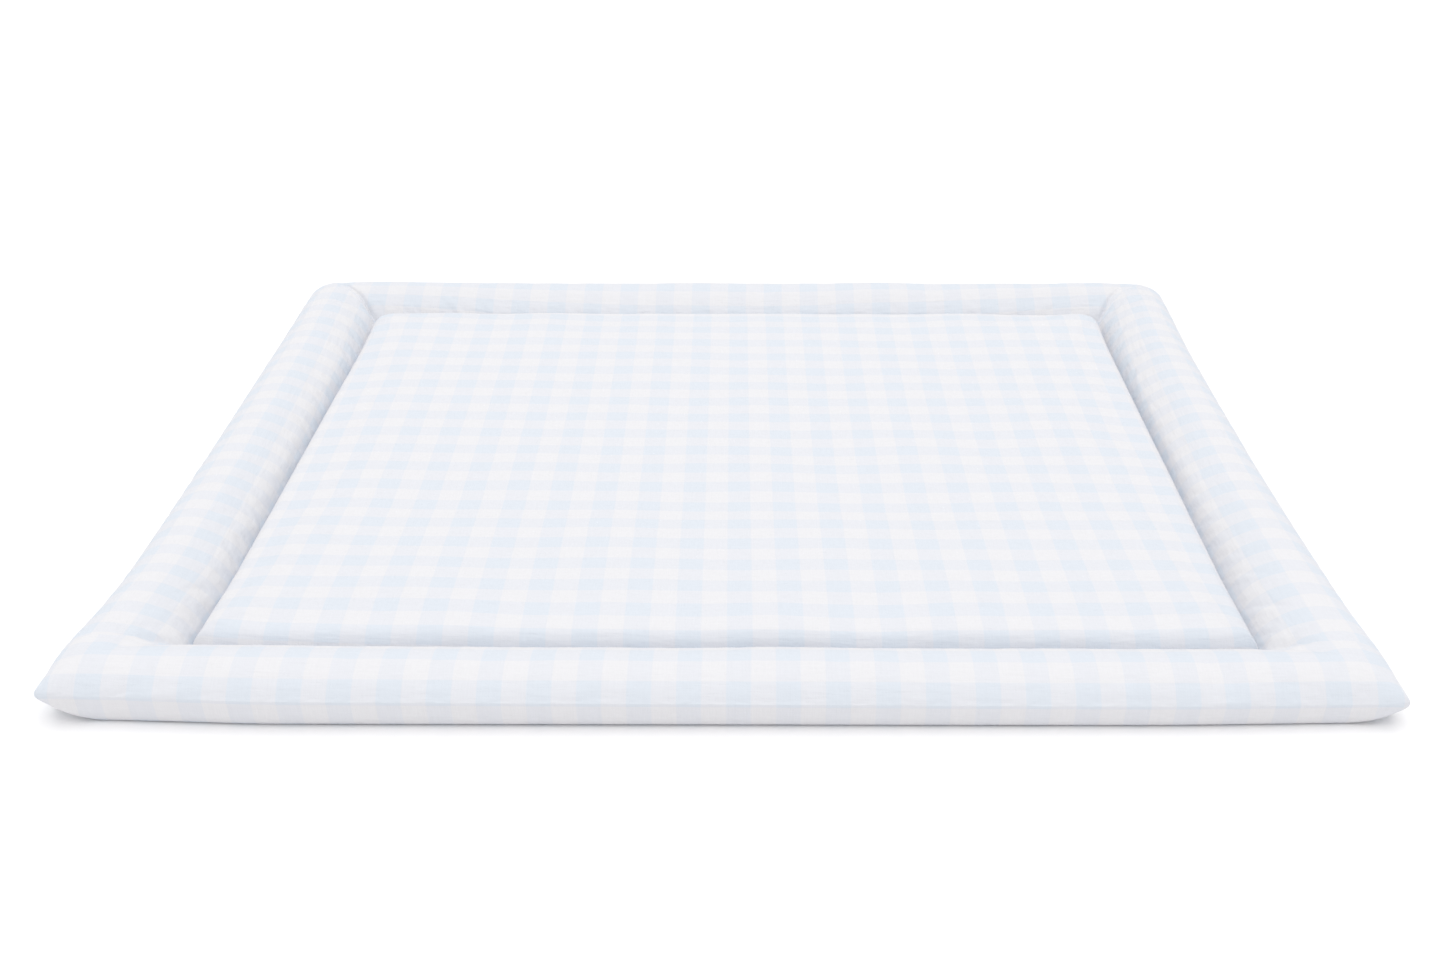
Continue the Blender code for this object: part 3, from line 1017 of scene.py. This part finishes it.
def make_weave_group():
    """A group that gives the cloth's fine height and a tint that streaks along the yarns."""
    group, inside, outside = new_group(
        "weave",
        [
            ("Cloth", "NodeSocketVector", None),
            ("Crinkle", "NodeSocketFloat", 1.0),
        ],
        [("Height", "NodeSocketFloat"), ("Tint", "NodeSocketFloat")],
    )
    cloth = inside.outputs["Cloth"]
    parts = group.nodes.new("ShaderNodeSeparateXYZ")
    group.links.new(cloth, parts.inputs[0])
    over = yarn_wave(group, parts.outputs["X"])
    under = yarn_wave(group, parts.outputs["Y"])
    plain = add_math(group, "MULTIPLY", add_math(group, "MULTIPLY", over, under), YARN_HEIGHT)
    warp = streaks(group, cloth, 900.0, 40.0, 2.0)
    weft = streaks(group, cloth, 40.0, 900.0, 2.0)
    tint = add_math(group, "ADD", warp, weft)
    slubs = add_math(group, "MULTIPLY", tint, SLUB_HEIGHT)
    long_crinkle = streaks(group, cloth, 26.0, 120.0, 3.0)
    cross_crinkle = streaks(group, cloth, 110.0, 34.0, 3.0)
    both = add_math(group, "ADD", long_crinkle, add_math(group, "MULTIPLY", cross_crinkle, 0.6))
    depth = add_math(group, "MULTIPLY", inside.outputs["Crinkle"], CRINKLE_HEIGHT)
    crinkle = add_math(group, "MULTIPLY", both, depth)
    height = add_math(group, "ADD", add_math(group, "ADD", plain, slubs), crinkle)
    group.links.new(height, outside.inputs["Height"])
    group.links.new(tint, outside.inputs["Tint"])
    return group


weave = make_weave_group()
print("weave group has", len(weave.nodes), "nodes")

# %% [markdown]
# ## The cotton of each piece
#
# All five pieces are cut from one cloth, but each lies with its checks in its own place. The border
# is eased on to its seams, which closes its checks up a little along the front and the sides
# and opens them along the back. Over the round side lengths they also look wider across.

# %% Colours and check layout
WHITE = (0.770, 0.766, 0.786, 1.0)
HALF_BLUE = (0.735, 0.745, 0.785, 1.0)
FULL_BLUE = (0.688, 0.730, 0.790, 1.0)

CHECKS = {
    "pad_cloth": {
        "Column Step": 0.04835, "Column Start": 0.126, "Row Step": 0.0478, "Row Start": 0.15,
    },
    "border_front_cloth": {
        "Column Step": 0.0447, "Column Start": 0.324, "Row Step": 0.048, "Row Start": 0.20,
    },
    "border_back_cloth": {
        "Column Step": 0.0512, "Column Start": 0.01, "Row Step": 0.056, "Row Start": 0.96,
    },
    "border_left_cloth": {
        "Column Step": 0.0428, "Column Start": 0.82, "Row Step": 0.057, "Row Start": 0.351,
    },
    "border_right_cloth": {
        "Column Step": 0.0452, "Column Start": 0.9425, "Row Step": 0.0565, "Row Start": 0.335,
    },
}
TINT_SHARE = 0.05


def make_cotton(name, layout):
    """Woven cotton with its checks laid out as the table says."""
    material = bpy.data.materials.new(name)
    material.use_nodes = True
    tree = material.node_tree
    shader = tree.nodes["Principled BSDF"]
    shader.inputs["Roughness"].default_value = 0.88
    shader.inputs["Specular IOR Level"].default_value = 0.25
    shader.inputs["Sheen Weight"].default_value = 0.12
    shader.inputs["Sheen Roughness"].default_value = 0.5
    place = tree.nodes.new("ShaderNodeUVMap")
    place.uv_map = "cloth"
    checks = tree.nodes.new("ShaderNodeGroup")
    checks.node_tree = gingham
    for label, value in layout.items():
        checks.inputs[label].default_value = value
    checks.inputs["White"].default_value = WHITE
    checks.inputs["Half Blue"].default_value = HALF_BLUE
    checks.inputs["Full Blue"].default_value = FULL_BLUE
    yarns = tree.nodes.new("ShaderNodeGroup")
    yarns.node_tree = weave
    tree.links.new(place.outputs["UV"], checks.inputs["Cloth"])
    tree.links.new(place.outputs["UV"], yarns.inputs["Cloth"])
    tinted = tree.nodes.new("ShaderNodeHueSaturation")
    streaked = add_math(tree, "MULTIPLY", yarns.outputs["Tint"], TINT_SHARE)
    tree.links.new(add_math(tree, "ADD", streaked, 1.0), tinted.inputs["Value"])
    tree.links.new(checks.outputs["Color"], tinted.inputs["Color"])
    tree.links.new(tinted.outputs["Color"], shader.inputs["Base Color"])
    bump = tree.nodes.new("ShaderNodeBump")
    bump.inputs["Strength"].default_value = 1.0
    bump.inputs["Distance"].default_value = 1.0
    tree.links.new(yarns.outputs["Height"], bump.inputs["Height"])
    tree.links.new(bump.outputs["Normal"], shader.inputs["Normal"])
    return material


for bag in (pad, front, back, left, right):
    bag.data.materials.clear()
    bag.data.materials.append(make_cotton(bag.name + "_cotton", CHECKS[bag.name]))
    print(bag.name, "is sewn from", bag.data.materials[0].name)

# %% [markdown]
# ## Fit the pieces to the solids
#
# Each bag stands for one imported solid, which is hidden, and rides on the same body.

STANDS_FOR = (
    (pad, "centre_pad", "pad_cloth"),
    (front, "bolster_front", "border_cloth"),
    (back, "bolster_back", "border_cloth"),
    (left, "bolster_left", "border_cloth"),
    (right, "bolster_right", "border_cloth"),
)
for bag, node, slot in STANDS_FOR:
    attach(bag, "root")
    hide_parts(node)

# %% [markdown]
# ## Floor, light and camera
#
# The mat lies on a white floor under soft studio light: an even white sky, and a large soft lamp
# overhead that makes level cloth a little brighter than upright cloth.

# %% Floor
FLOOR_SIZE = 60.0
FLOOR_DROP = 0.0005

bpy.ops.object.select_all(action="DESELECT")
bpy.ops.mesh.primitive_plane_add(size=FLOOR_SIZE, location=(0.0, 0.0, -FLOOR_DROP))
floor = bpy.context.object
floor.name = "floor"
bpy.ops.object.transform_apply(location=True, rotation=True, scale=True)
floor_paint = bpy.data.materials.new("floor_paint")
floor_paint.use_nodes = True
floor_shader = floor_paint.node_tree.nodes["Principled BSDF"]
floor_shader.inputs["Base Color"].default_value = (0.96, 0.955, 0.96, 1.0)
floor_shader.inputs["Roughness"].default_value = 1.0
floor_shader.inputs["Specular IOR Level"].default_value = 0.0
floor.data.materials.append(floor_paint)

# %% Sky and lamp
SKY_STRENGTH = 0.75
LAMP_STRENGTH = 1.45
LAMP_SPREAD = math.radians(90.0)

world = bpy.data.worlds.new("studio")
bpy.context.scene.world = world
world.use_nodes = True
sky = world.node_tree.nodes["Background"]
sky.inputs["Color"].default_value = (1.0, 1.0, 1.0, 1.0)
sky.inputs["Strength"].default_value = SKY_STRENGTH

bpy.ops.object.light_add(type="SUN", location=(0.0, 0.0, 3.0))
lamp = bpy.context.object
lamp.name = "soft_lamp"
lamp.data.angle = LAMP_SPREAD
lamp.data.energy = LAMP_STRENGTH
bpy.context.scene.view_settings.view_transform = "Standard"

# %% [markdown]
# ## Camera
#
# The camera stands where the corners of the inner seam fall on their places in the photograph. Its
# focal length is given in pixels of the photograph and turned into millimetres of sensor.

# %% Camera
PHOTO_WIDTH = 1445
PHOTO_FOCAL = 1685.0
CENTRE_COLUMN = 749.4
EYE = (0.0315, -1.7977, 0.8769)
PITCH = math.radians(26.449)
TURN = math.radians(0.334)
SENSOR = 36.0

bpy.ops.object.camera_add()
camera = bpy.context.object
camera.name = "camera"
camera.data.sensor_width = SENSOR
camera.data.lens = PHOTO_FOCAL / PHOTO_WIDTH * SENSOR
camera.data.shift_x = (PHOTO_WIDTH / 2 - CENTRE_COLUMN) / PHOTO_WIDTH
camera.data.clip_end = 100.0
aim = Matrix.Rotation(TURN, 4, "Z") @ Matrix.Rotation(math.pi / 2 - PITCH, 4, "X")
camera.matrix_world = Matrix.Translation(EYE) @ aim
bpy.context.scene.camera = camera
print(f"camera: {camera.data.lens:.1f} mm lens, {math.degrees(PITCH):.1f} degrees down")
